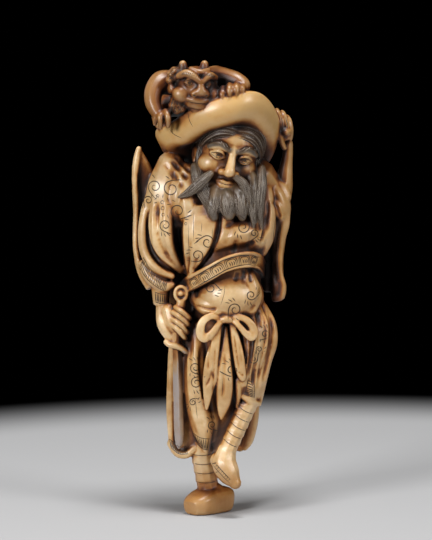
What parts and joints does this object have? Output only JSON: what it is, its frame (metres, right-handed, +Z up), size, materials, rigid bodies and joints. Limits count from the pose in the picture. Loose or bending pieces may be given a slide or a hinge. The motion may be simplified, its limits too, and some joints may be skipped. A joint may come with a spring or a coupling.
{
  "type": "netsuke",
  "caption": "Ivory netsuke of a bearded demon queller with a sword, steadying a wide hat on which a small demon clings; stands on one foot and has a cord tunnel in its back.",
  "frame": {"origin": "under the standing foot, on the flat of its sole", "axes": "+Z up along the figure, -Y towards the side its face looks to, +X to its left hand"},
  "size_m": [0.0322, 0.022, 0.0919],
  "materials": {
    "stained_ivory": "polished stained ivory, dark in the cuts"
  },
  "bodies": {
    "root": {"ivory_figure": "stained_ivory"}
  },
  "joints": []
}
